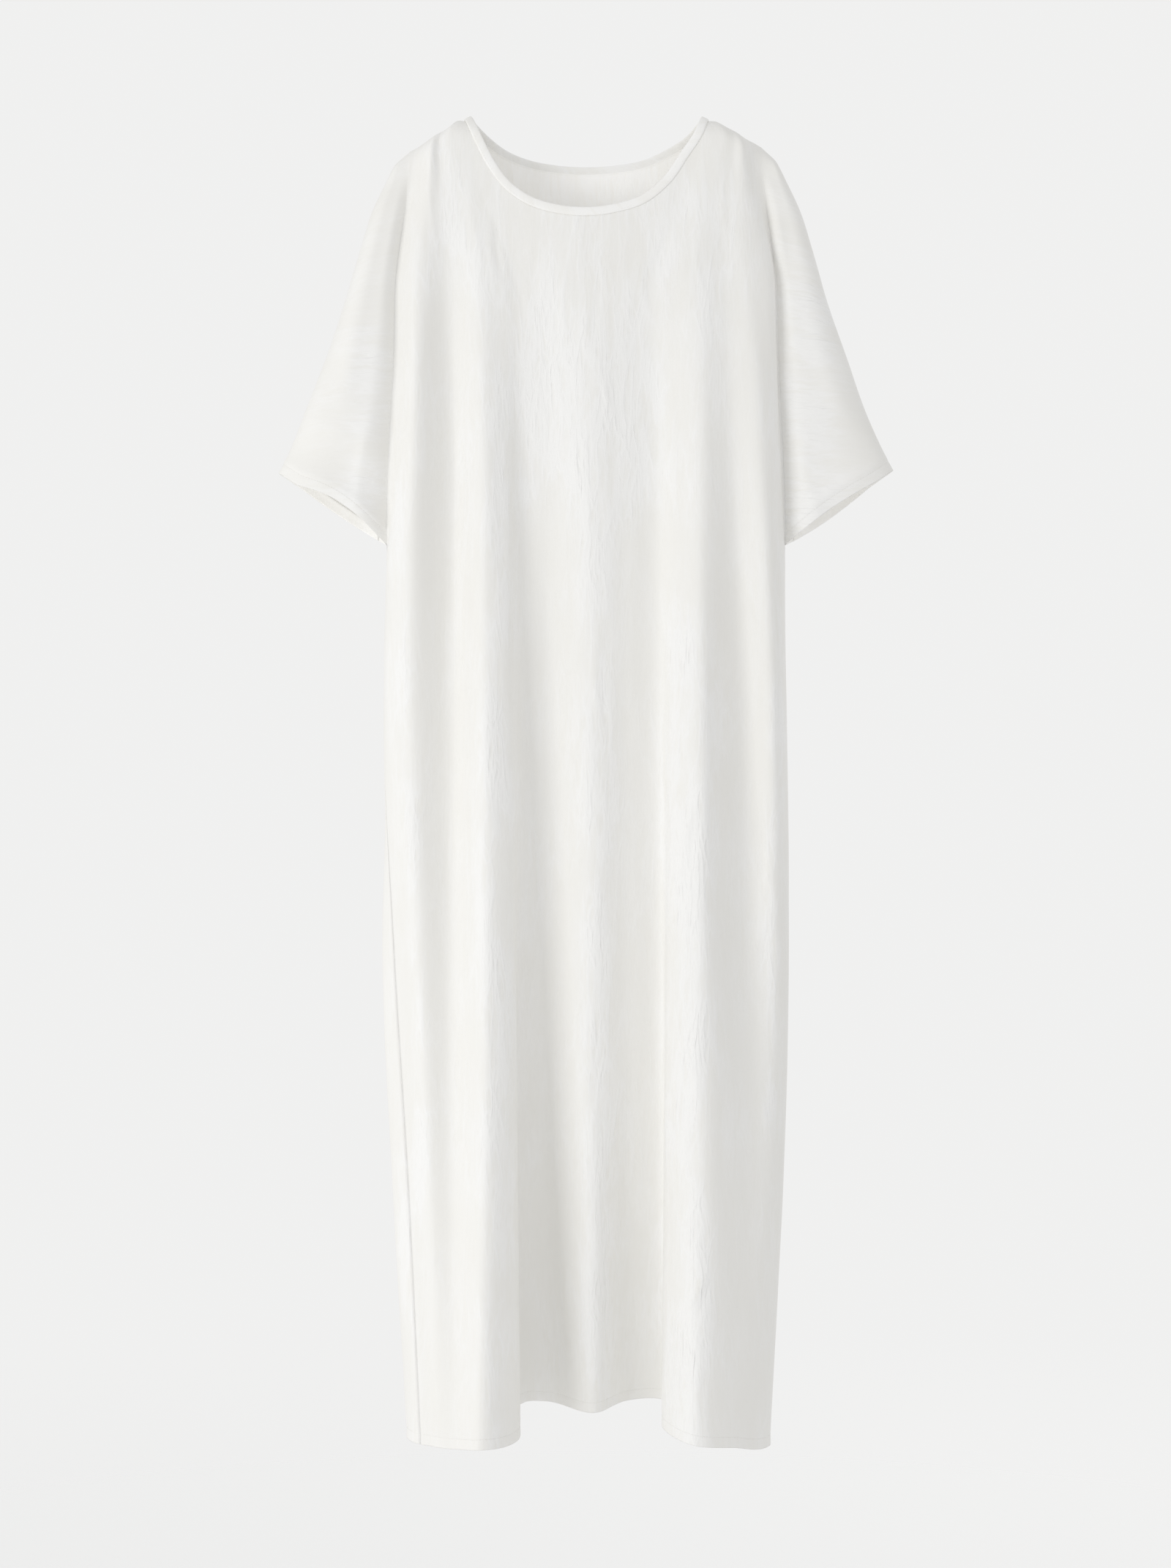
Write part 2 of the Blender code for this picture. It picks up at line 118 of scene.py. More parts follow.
# Shoulder seam, over-sleeve seam and neck line in mm (x, z)
SHOULDERS = {
    -1: ((-124, -3), (-137, -11), (-155, -20), (-173, -30), (-181, -34)),
    1: ((126, -3), (144, -11), (162, -20), (177, -27), (182, -30)),
}
OVER_SLEEVES = {
    -1: ((-197, -48), (-206, -66), (-220, -96), (-232, -134), (-249, -190), (-268, -247),
         (-290, -304), (-305, -342), (-317, -366)),
    1: ((197, -44), (205, -60), (222, -96), (234, -134), (250, -190), (270, -247),
        (290, -304), (307, -342), (318, -363)),
}
NECK = {
    "front": ((-124, -3), (-111, -32), (-99, -55), (-82, -77), (-59, -93), (-31, -102), (2, -105),
              (33, -101), (60, -92), (86, -71), (104, -45), (119, -22), (126, -3)),
    "back": ((-124, -3), (-104, -21), (-84, -35), (-62, -44), (-32, -50), (2, -52), (34, -50),
             (64, -44), (88, -33), (110, -19), (126, -3)),
}
NECK_STATIONS = {"front": (4, 12), "back": (4, 8)}

# The sleeve's fullness in mm from the shoulder tip to the cuff, and its cuff's lift
SLEEVE_REACH = (0, 0.06, 0.15, 0.4, 0.7, 0.95, 1)
SLEEVE_SWELL = {"front": (0, 0, 7, 11, 15, 21, 27), "back": (0, 1, 6, 9, 12, 15, 18)}
CUFF_LIFT = {("front", -1): 11, ("front", 1): 4, ("back", -1): -2, ("back", 1): -4}

# How finely the cloth is woven into a mesh: rows down from the top edge, then evenly
TOP_ROWS = (0, 0.0003, 0.0012, 0.0026, 0.0046, 0.0072, 0.0104, 0.0142, 0.0184, 0.0230)
UPPER_ROWS = 62
LOWER_ROWS = 132
EDGE_ROWS = (0.0140, 0.0114, 0.0104, 0.0094, 0.0070, 0.0035, 0.0012, 0)
CUFF_ROW_HEIGHT = 0.0056
COLUMN_SPACING = 0.0038
SLEEVE_OUT = np.unique(np.concatenate((
    np.linspace(0, 0.12, 7), np.linspace(0.12, 0.88, 22), np.linspace(0.88, 0.985, 6),
    [0.993, 0.997, 1])))[1:]


def smooth(knots, values, at):
    """A cubic through the values at rising knots, level beyond both ends."""
    knots = np.asarray(knots, float)
    values = np.asarray(values, float)
    slopes = np.gradient(values, knots)
    at = np.clip(at, knots[0], knots[-1])
    i = np.clip(np.searchsorted(knots, at, side="right") - 1, 0, len(knots) - 2)
    step = knots[i + 1] - knots[i]
    t = (at - knots[i]) / step
    rise = (values[i + 1] - values[i]) * t * t * (3 - 2 * t)
    return values[i] + rise + step * t * (1 - t) * (slopes[i] * (1 - t) - slopes[i + 1] * t)


def by_height(heights, values, z):
    """The same for a table that is listed from the top down."""
    return smooth(np.asarray(heights[::-1], float), values[::-1], z)


def along(points, place):
    """Fold lines (sample, station, 2) joined by a smooth curve, read at a station number each."""
    before, here = points[:, :-1], points[:, 1:]
    span = np.linalg.norm(here - before, axis=2) + 1e-6
    heading = (here - before) / span[..., None]
    first, last = span[:, :-1, None], span[:, 1:, None]
    slope = (last * heading[:, :-1] + first * heading[:, 1:]) / (first + last)
    i = np.clip(np.floor(place).astype(int), 0, slope.shape[1] - 2)
    t = (place - i)[:, None]
    row = np.arange(len(place))
    start, end = points[row, i + 1], points[row, i + 2]
    length = span[row, i + 1][:, None]
    ease = t * t * (3 - 2 * t)
    lean = t * (1 - t) * (slope[row, i] * (1 - t) - slope[row, i + 1] * t)
    return start + (end - start) * ease + length * lean


def fold_lines(face, z):
    """The fold lines of one face at each height z, with a point beyond each side seam."""
    other = "back" if face == "front" else "front"
    below = z < UNDERARM_Z
    columns = []
    for side in (-1, 1):
        table = SIDES[side]
        read = {name: by_height(SIDE_Z, table[name], z / MM) for name in table}
        opening = np.interp(-z / MM, -np.array(SIDE_Z), table[f"{face} floor"])
        floor = (read["seam x"], read["seam y"] + SIGN[face] * opening)
        edge = (read[f"{face} edge x"], read[f"{face} edge y"])
        past_x = np.where(below, read[f"{other} edge x"], read["seam x"] + side * 12)
        past_y = np.where(below, read[f"{other} edge y"], floor[1] + SIGN[face] * 9)
        column = [(past_x, past_y), floor, edge]
        columns.append(column if side == -1 else column[::-1])
    middle = []
    for _, across, depth, _ in FOLDS[face]:
        middle.append((by_height(LEVEL_Z, across, z), by_height(LEVEL_Z, depth, z)))
    every = columns[0] + middle + columns[1]
    return np.stack([np.stack(point, axis=1) for point in every], axis=1) * MM


def read_line(points, share):
    """A smooth line through (x, z) points in mm, read at shares of its length."""
    points = np.array(points, float) * MM
    run = np.concatenate(([0], np.cumsum(np.linalg.norm(np.diff(points, axis=0), axis=1))))
    at = np.asarray(share) * run[-1]
    return np.stack((smooth(run, points[:, 0], at), smooth(run, points[:, 1], at)), axis=1)


def column_places(face):
    """Station numbers of the columns, about one column spacing apart on the cloth."""
    heights = np.linspace(-0.2, -1.3, 12)
    lines = fold_lines(face, heights)[:, 1:-1]
    widths = np.linalg.norm(np.diff(lines, axis=1), axis=2).mean(axis=0)
    out = [0.0]
    for i, width in enumerate(widths):
        count = max(3, int(np.ceil(width / COLUMN_SPACING)))
        out += [i + k / count for k in range(1, count + 1)]
    return np.array(out)


def top_edge(face, place):
    """The cut edge that each column starts from, and the height of the line that bears it."""
    first, last = NECK_STATIONS[face]
    count = len(FOLDS[face]) + 3
    out = np.zeros((len(place), 2))
    left = place < first
    right = place > last
    middle = ~left & ~right
    out[left] = read_line(SHOULDERS[-1], 1 - place[left] / first)
    out[right] = read_line(SHOULDERS[1], (place[right] - last) / (count - last))
    share = (place[middle] - first) / (last - first)
    out[middle] = read_line(NECK[face], share - NECK_SPREAD * np.sin(2 * np.pi * share))
    return out, np.where(middle, NECK[face][0][1] * MM, out[:, 1])


def rounding(depth):
    """How far the cloth has come off the top of the shoulder, from 0 to 1."""
    return np.sqrt(1 - np.clip(1 - depth / SHOULDER_ROUND, 0, 1) ** 2)


def hem_height(face, place):
    drops = [HEM_AT_SEAM[-1]] * 2 + [fold[3] for fold in FOLDS[face]] + [HEM_AT_SEAM[1]] * 2
    return smooth(np.arange(len(drops)), np.array(drops) * MM, place)


def row_numbers():
    """Row numbers, even but for the closer rows just above the cuffs and above the hem."""
    upper = len(TOP_ROWS) - 1 + UPPER_ROWS
    last = upper + LOWER_ROWS
    cuff = upper - np.array(EDGE_ROWS) / CUFF_ROW_HEIGHT
    hem = last - np.array(EDGE_ROWS) * LOWER_ROWS / (1.350 + UNDERARM_Z)
    even = np.arange(last + 1, dtype=float)
    above = even[even < cuff[0] - 0.4]
    between = even[(even > upper) & (even < hem[0] - 0.4)]
    return np.concatenate((above, cuff, between, hem))


def body_points(face, place, row):
    """Points of one face's body at a station number and a row number each."""
    first, last = NECK_STATIONS[face]
    top, bearing = top_edge(face, place)
    upper = len(TOP_ROWS) - 1 + UPPER_ROWS
    fall_from_bearing = np.interp(row, np.arange(len(TOP_ROWS)), TOP_ROWS)
    least = TOP_ROWS[1] * np.minimum(row, len(TOP_ROWS) - 1)
    z = top[:, 1] - np.maximum(fall_from_bearing - (bearing - top[:, 1]), least)
    z = z + (UNDERARM_Z - z) * np.clip((row - len(TOP_ROWS) + 1) / UPPER_ROWS, 0, 1)
    sink = np.clip((row - upper) / LOWER_ROWS, 0, 1)
    z = z + (hem_height(face, place) - UNDERARM_Z) * sink
    xy = along(fold_lines(face, z), place)
    settle = np.clip((top[:, 1] - z) / SETTLE_HEIGHT, 0, 1)
    settle = settle * settle * (3 - 2 * settle)
    leans = []
    for inwards in (place - first, last - place):
        beside_neck = np.exp(-(inwards / CORNER_REACH) ** 2)
        leans.append(np.where(inwards > 0, beside_neck, np.clip(1 + inwards / first, 0, 1)))
    come_off = rounding(bearing - z) - rounding(bearing - top[:, 1])
    fan = CORNER_LEAN * (leans[1] - leans[0]) * come_off
    x = top[:, 0] + (xy[:, 0] - top[:, 0]) * settle + fan * (1 - settle)
    return np.stack((x, xy[:, 1] * rounding(bearing - z), z), axis=1)


def sleeve_points(face, side, root, reach, out):
    """Points of a sleeve's half, from the hollow beside the body out to the upper seam."""
    line = np.array(OVER_SLEEVES[side], float) * MM
    tip_z = line[0, 1] + (line[-1, 1] - line[0, 1]) * reach
    tip_x = by_height(line[:, 1], line[:, 0], tip_z)
    x = root[:, 0] + (tip_x - root[:, 0]) * out
    z = root[:, 2] + (tip_z - root[:, 2]) * out
    z = z + np.sin(np.pi * np.clip(out / 0.8, 0, 1)) * CUFF_LIFT[(face, side)] * MM * reach ** 6
    swell = SIGN[face] * smooth(SLEEVE_REACH, SLEEVE_SWELL[face], reach) * MM
    rise = 1 - (1 - np.clip(out / 0.3, 0, 1)) ** 2
    close = np.sqrt(1 - np.clip((out - 0.55) / 0.45, 0, 1) ** 2)
    return np.stack((x, (root[:, 1] + swell * rise) * close, z), axis=1)


def lattice(u, v, width, length, seed):
    """Soft random hills, from -1 to 1, about one width across and one length long."""
    rng = np.random.RandomState(seed)
    table = rng.uniform(-1, 1, (64, 64))
    a, b = u / width, v / length
    i, j = np.floor(a).astype(int), np.floor(b).astype(int)
    s, t = a - i, b - j
    s, t = s * s * (3 - 2 * s), t * t * (3 - 2 * t)
    i0, i1, j0, j1 = i % 64, (i + 1) % 64, j % 64, (j + 1) % 64
    low = table[i0, j0] * (1 - s) + table[i1, j0] * s
    high = table[i0, j1] * (1 - s) + table[i1, j1] * s
    return low * (1 - t) + high * t


# A crease's bow and the part of its length that it fades over, and the crinkling everywhere
# with the height in metres over which a patch fades in and out
CREASE_BOW = 0.06
CREASE_FADE = 0.35
CRINKLED_EVERYWHERE = 0.21
PATCH_FADE = 0.06


def creases_at(x, z, creases):
    """The height of the listed creases at (x, z): each is a soft ridge or trough."""
    height = np.zeros(len(x))
    for _, x1, z1, x2, z2, half_width, rise in creases:
        dx, dz = (x2 - x1) * MM, (z2 - z1) * MM
        length = np.hypot(dx, dz)
        t = ((x - x1 * MM) * dx + (z - z1 * MM) * dz) / length ** 2
        bow = CREASE_BOW * length * np.sin(np.pi * np.clip(t, 0, 1))
        off = ((x - x1 * MM) * dz - (z - z1 * MM) * dx) / length - bow
        fade = np.clip(np.minimum(t, 1 - t) / CREASE_FADE, 0, 1)
        ridge = rise * MM * np.exp(-(off / (half_width * MM)) ** 2)
        height += ridge * fade * fade * (3 - 2 * fade)
    return height


def crinkled(x, z, patches):
    """How strongly the crepe is crinkled at (x, z), from 0 to 1."""
    strength = np.full(len(x), CRINKLED_EVERYWHERE)
    for _, x1, z1, x2, z2, half_width, more in patches:
        t = np.clip((z - z1 * MM) / ((z2 - z1) * MM), 0, 1)
        centre = (x1 + (x2 - x1) * t) * MM
        reach = np.clip(1 - np.maximum(z - z1 * MM, z2 * MM - z) / PATCH_FADE, 0, 1)
        strength += more * np.exp(-((x - centre) / (half_width * MM)) ** 2) * reach
    return np.clip(strength, 0, 1)


# Creases of the front in mm (x, z to x, z, half width, height out of the cloth): those that
# the photograph shows on the chest, over the hips, beside the side seams and above the hem
FRONT_CREASES = (
    ("yoke left",            -158, -62, -146, -150, 3.0, 0.7),
    ("yoke left inner",      -118, -60, -100, -165, 3.2, 0.6),
    ("neck left",            -96, -96, -88, -190, 2.6, 0.7),
    ("neck left trough",     -90, -98, -80, -180, 3.0, -0.7),
    ("chest left",           -52, -130, -58, -215, 2.6, 0.6),
    ("chest middle left",    -20, -150, -14, -260, 2.6, 0.7),
    ("chest middle",         8, -180, 4, -262, 2.4, 0.8),
    ("chest middle trough",  14, -176, 12, -250, 2.4, -0.7),
    ("breast bone",          20, -272, 26, -308, 2.2, 1.1),
    ("chest right",          56, -128, 68, -216, 2.6, 0.6),
    ("chest right outer",    112, -120, 128, -205, 2.8, 0.6),
    ("yoke right",           140, -66, 150, -140, 3.0, 0.6),
    ("left edge drag",       -186, -300, -190, -420, 3.0, 0.7),
    ("waist ridge",          12, -520, 20, -640, 3.0, 0.9),
    ("waist ridge trough",   20, -540, 27, -650, 2.6, -0.8),
    ("hip ridge",            6, -650, 2, -745, 2.8, 0.9),
    ("left pocket",          -190, -455, -186, -700, 2.6, 1.3),
    ("left pocket trough",   -183, -470, -179, -690, 3.0, -1.3),
    ("left pocket foot",     -178, -742, -150, -700, 4.0, -1.0),
    ("left pocket corner",   -172, -738, -158, -750, 2.4, 0.8),
    ("left lobe crease",     -97, -688, -93, -740, 2.4, 0.8),
    ("right lobe crease",    114, -700, 100, -780, 2.8, 1.1),
    ("right lobe trough",    120, -706, 107, -782, 2.8, -0.8),
    ("right pocket",         190, -680, 196, -815, 2.8, 1.1),
    ("right pocket trough",  184, -690, 190, -810, 2.8, -1.0),
    ("right drag upper",     196, -765, 178, -826, 3.0, 1.0),
    ("right drag lower",     194, -812, 170, -880, 3.4, 0.9),
    ("ridge crinkle upper",  12, -915, 8, -985, 2.4, 0.9),
    ("ridge crinkle middle", 16, -1000, 10, -1075, 2.4, 1.0),
    ("ridge crinkle lower",  4, -1060, 9, -1150, 2.4, 0.9),
    ("ridge crinkle last",   10, -1170, 5, -1250, 2.4, 0.8),
    ("lobe crinkle left",    -99, -900, -92, -975, 2.6, 0.8),
    ("lobe crinkle low",     -106, -1150, -100, -1230, 2.6, 0.8),
    ("hem left crease",      -166, -1176, -146, -1164, 2.6, 1.1),
    ("lobe crinkle right",   112, -930, 120, -1030, 2.6, 1.0),
    ("lobe crinkle right 2", 104, -1020, 112, -1110, 2.6, 0.9),
    ("hem right cross",      106, -1162, 134, -1156, 2.4, 1.1),
    ("hem right slant",      127, -1172, 103, -1226, 2.4, 1.9),
    ("hem right trough",     134, -1176, 110, -1232, 3.0, -0.9),
    ("hem right low",        120, -1255, 112, -1330, 2.8, 0.8),
    ("hem edge slant",       181, -1010, 190, -1050, 2.4, 0.9),
    ("left sleeve fold",     -205, -78, -240, -330, 13, 1.8),
    ("left sleeve hollow",   -214, -84, -262, -350, 11, -1.4),
    ("left sleeve drag",     -226, -250, -292, -352, 9, 1.2),
    ("left sleeve low",      -214, -300, -232, -420, 5, 1.2),
    ("right sleeve fold",    202, -70, 212, -330, 8, 1.6),
    ("right sleeve hollow",  212, -80, 236, -360, 9, -1.6),
    ("right sleeve drag",    230, -180, 290, -350, 11, 1.2),
    ("right sleeve low",     220, -330, 244, -424, 5, 1.2),
)

# Where the front's crepe is crinkled most (x, z to x, z, half width, strength)
FRONT_PATCHES = (
    ("chest",            0, -95, 0, -380, 95, 0.55),
    ("yoke left",        -140, -50, -130, -170, 26, 0.35),
    ("yoke right",       130, -50, 130, -190, 26, 0.35),
    ("centre ridge",     14, -300, 12, -1300, 15, 0.75),
    ("left lobe",        -92, -300, -92, -1330, 14, 0.62),
    ("right lobe",       108, -560, 106, -1330, 22, 0.75),
    ("left side",        -190, -420, -165, -1100, 9, 0.45),
    ("right side",       196, -600, 186, -1100, 9, 0.40),
    ("right sleeve",     225, -180, 240, -430, 26, 0.60),
    ("left sleeve",      -222, -240, -235, -440, 16, 0.45),
)


def crepe_relief():
    """A node group for crinkled crepe: its height in mm and a mask of its crinkles."""
    group = bpy.data.node_groups.new("crepe_relief", "ShaderNodeTree")
    face = group.interface
    face.new_socket("Cloth Position", in_out="INPUT", socket_type="NodeSocketVector")
    for name, value in (("Crinkle", 0.5), ("Crinkle Height", 0.25), ("Pebble Height", 0.03)):
        socket = face.new_socket(name, in_out="INPUT", socket_type="NodeSocketFloat")
        socket.default_value = value
    face.new_socket("Height", in_out="OUTPUT", socket_type="NodeSocketFloat")
    face.new_socket("Crinkle Mask", in_out="OUTPUT", socket_type="NodeSocketFloat")
    nodes, links = group.nodes, group.links
    given = nodes.new("NodeGroupInput")
    result = nodes.new("NodeGroupOutput")

    def math(operation, first, second=None, clamp=False):
        node = nodes.new("ShaderNodeMath")
        node.operation = operation
        node.use_clamp = clamp
        for socket, value in zip(node.inputs, (first, second)):
            if value is None:
                continue
            if isinstance(value, (int, float)):
                socket.default_value = value
            else:
                links.new(value, socket)
        return node.outputs[0]

    def noise(stretch, detail, roughness, distortion):
        """Noise with this many cells to the metre across and along the crinkles."""
        mapping = nodes.new("ShaderNodeMapping")
        mapping.inputs["Scale"].default_value = stretch
        links.new(given.outputs["Cloth Position"], mapping.inputs["Vector"])
        texture = nodes.new("ShaderNodeTexNoise")
        for key, value in (("Scale", 1), ("Detail", detail), ("Roughness", roughness),
                           ("Distortion", distortion)):
            texture.inputs[key].default_value = value
        links.new(mapping.outputs[0], texture.inputs["Vector"])
        return texture.outputs["Fac"]

    long_crinkle = noise((84, 14, 84), 2.0, 0.5, 0.5)
    short_crinkle = noise((190, 36, 190), 1.0, 0.5, 0.5)
    pebble = noise((1150, 620, 1150), 1.0, 0.5, 0.0)
    patch = noise((26, 11, 26), 1.0, 0.5, 0.0)

    ridge = math("ABSOLUTE", math("SUBTRACT", long_crinkle, 0.5))
    ridge = math("SUBTRACT", 1.0, math("MULTIPLY", ridge, 7.0), clamp=True)
    ridge = math("MULTIPLY", ridge, ridge)
    fine = math("ABSOLUTE", math("SUBTRACT", short_crinkle, 0.5))
    fine = math("SUBTRACT", 1.0, math("MULTIPLY", fine, 6.0), clamp=True)
    both = math("ADD", math("MULTIPLY", ridge, 0.62), math("MULTIPLY", fine, 0.38))
    both = math("ADD", both, math("MULTIPLY", long_crinkle, 0.6))
    uneven = math("SUBTRACT", math("MULTIPLY", patch, 3.2), 1.15, clamp=True)
    uneven = math("ADD", math("MULTIPLY", uneven, 0.72), 0.28)
    strength = math("MULTIPLY", given.outputs["Crinkle"], uneven)
    mask = math("MULTIPLY", both, strength)
    height = math("MULTIPLY", mask, given.outputs["Crinkle Height"])
    grain = math("MULTIPLY", pebble, given.outputs["Pebble Height"])
    links.new(math("ADD", height, grain), result.inputs["Height"])
    links.new(mask, result.inputs["Crinkle Mask"])
    return group


CREPE_RELIEF = crepe_relief()


def new_material(name):
    """A material with its nodes, its links and its shader."""
    made = bpy.data.materials.new(name)
    made.use_nodes = True
    nodes = made.node_tree.nodes
    return made, nodes, made.node_tree.links, nodes["Principled BSDF"]


def placed(name, data):
    """A new object in the scene, at the origin."""
    piece = bpy.data.objects.new(name, data)
    bpy.context.scene.collection.objects.link(piece)
    return piece


def crepe(name, light, shade, crinkle_height, turn=0.0, through=0.0):
    """White crepe: a matte cloth with a faint sheen. Its colour carries painted shade: a little
    darker and warmer where its crinkles are low, in their hollows and where it is barely
    crinkled. Through sets a painted glow, a faint emission that stands in for the daylight that
    comes through the thin cloth to its other side."""
    made, nodes, links, shader = new_material(name)
    position = nodes.new("ShaderNodeAttribute")
    position.attribute_name = "cloth"
    mapping = nodes.new("ShaderNodeMapping")
    mapping.inputs["Rotation"].default_value = (0, 0, turn)
    crinkle = nodes.new("ShaderNodeAttribute")
    crinkle.attribute_name = "crinkle"
    relief = nodes.new("ShaderNodeGroup")
    relief.node_tree = CREPE_RELIEF
    relief.inputs["Crinkle Height"].default_value = crinkle_height
    relief.inputs["Pebble Height"].default_value = 0.035
    # Painted shade: the colour goes from the light white on the crinkles' crests to the darker,
    # warmer white in their hollows, following the crinkle mask
    colour = nodes.new("ShaderNodeMix")
    colour.data_type = "RGBA"
    colour.inputs["A"].default_value = (*shade, 1)
    colour.inputs["B"].default_value = (*light, 1)
    painted_shade_mix = nodes.new("ShaderNodeMapRange")
    painted_shade_mix.inputs["From Max"].default_value = 0.35
    bump = nodes.new("ShaderNodeBump")
    bump.inputs["Strength"].default_value = 1.0
    bump.inputs["Distance"].default_value = MM
    links.new(position.outputs["Vector"], mapping.inputs["Vector"])
    links.new(mapping.outputs[0], relief.inputs["Cloth Position"])
    links.new(crinkle.outputs["Fac"], relief.inputs["Crinkle"])
    links.new(relief.outputs["Crinkle Mask"], painted_shade_mix.inputs["Value"])
    links.new(painted_shade_mix.outputs[0], colour.inputs["Factor"])
    links.new(colour.outputs["Result"], shader.inputs["Base Color"])
    links.new(relief.outputs["Height"], bump.inputs["Height"])
    links.new(bump.outputs[0], shader.inputs["Normal"])
    # The emission is a painted glow, a warm white light from the cloth itself that stands in for
    # the daylight coming through the thin crepe
    for key, value in (("Roughness", 0.86), ("Specular IOR Level", 0.2), ("Sheen Weight", 0.12),
                       ("Sheen Roughness", 0.5), ("Emission Strength", through),
                       ("Emission Color", (1.0, 0.985, 0.955, 1))):
        shader.inputs[key].default_value = value
    return made


def grid_faces(grid, outward):
    """Quads over a grid of vertex numbers, facing outwards."""
    quads = np.stack((grid[:-1, :-1], grid[1:, :-1], grid[1:, 1:], grid[:-1, 1:]), axis=-1)
    quads = quads.reshape(-1, 4)
    return quads if outward else quads[:, ::-1]


def cloth_mesh(name, points, quads, positions, crinkle):
    """An open mesh with its place in the cloth (metres, per corner: across the crinkles, along
    them, and across again in depth) and how strongly it is crinkled."""
    mesh = bpy.data.meshes.new(name)
    mesh.from_pydata(points.tolist(), [], quads.tolist())
    mesh.shade_smooth()
    mesh.attributes.new("cloth", "FLOAT_VECTOR", "CORNER")
    mesh.attributes["cloth"].data.foreach_set("vector", positions.astype(np.float32).ravel())
    mesh.attributes.new("crinkle", "FLOAT", "POINT")
    mesh.attributes["crinkle"].data.foreach_set("value", crinkle.astype(np.float32))
    return mesh


def push_out(mesh, height):
    """Moves each point of a mesh along its normal."""
    count = len(mesh.vertices)
    normal = np.empty(count * 3, np.float32)
    mesh.vertices.foreach_get("normal", normal)
    place = np.empty(count * 3, np.float32)
    mesh.vertices.foreach_get("co", place)
    place = place.reshape(-1, 3) + normal.reshape(-1, 3) * height[:, None]
    mesh.vertices.foreach_set("co", place.ravel().astype(np.float32))
    mesh.update()
    return place


def shell(name, mesh, finishes, thickness, offset):
    """A cloth object with its thickness inside its visible face, and its finish on each side."""
    for finish in finishes:
        mesh.materials.append(finish)
    piece = placed(name, mesh)
    wall = piece.modifiers.new("thickness", "SOLIDIFY")
    wall.thickness = thickness
    wall.offset = offset
    wall.material_offset = len(finishes) - 1
    return piece


def run_across(points):
    """Distance along each row of a grid of points from its middle column."""
    steps = np.linalg.norm(np.diff(points, axis=1), axis=2)
    run = np.concatenate((np.zeros((len(points), 1)), np.cumsum(steps, axis=1)), axis=1)
    return run - run[:, run.shape[1] // 2][:, None]


def run_down(points):
    """Distance down each column of a grid of points from its top."""
    steps = np.linalg.norm(np.diff(points, axis=0), axis=2)
    return np.concatenate((np.zeros((1, points.shape[1])), np.cumsum(steps, axis=0)), axis=0)


# Puckers wider than the material's own crinkles: height in mm, width and length in metres.
# Where the cloth isn't crinkled, the least share of their height is left.
PUCKERS = ((0.55, 0.017, 0.090), (0.30, 0.0095, 0.045), (0.40, 0.060, 0.210))
LEAST_PUCKER = 0.25

# How far a seam holds the puckers flat, the depth and half width of its groove and of the one
# that a row of stitches draws in, that row's height over the edge, and the ripples there
HELD_BY_SEAM = 0.012
SEAM_GROOVE = (0.0005, 0.0014)
STITCH_ROW = 0.0104
STITCH_GROOVE = (0.00045, 0.0012)
EDGE_RIPPLE = 0.0004
EDGE_RIPPLE_REACH = 0.006

# Where a sleeve's pattern starts, far from the body's, and how much depth counts across it
SLEEVE_CLOTH_START = 3.0
DEPTH_IN_PATTERN = 0.4


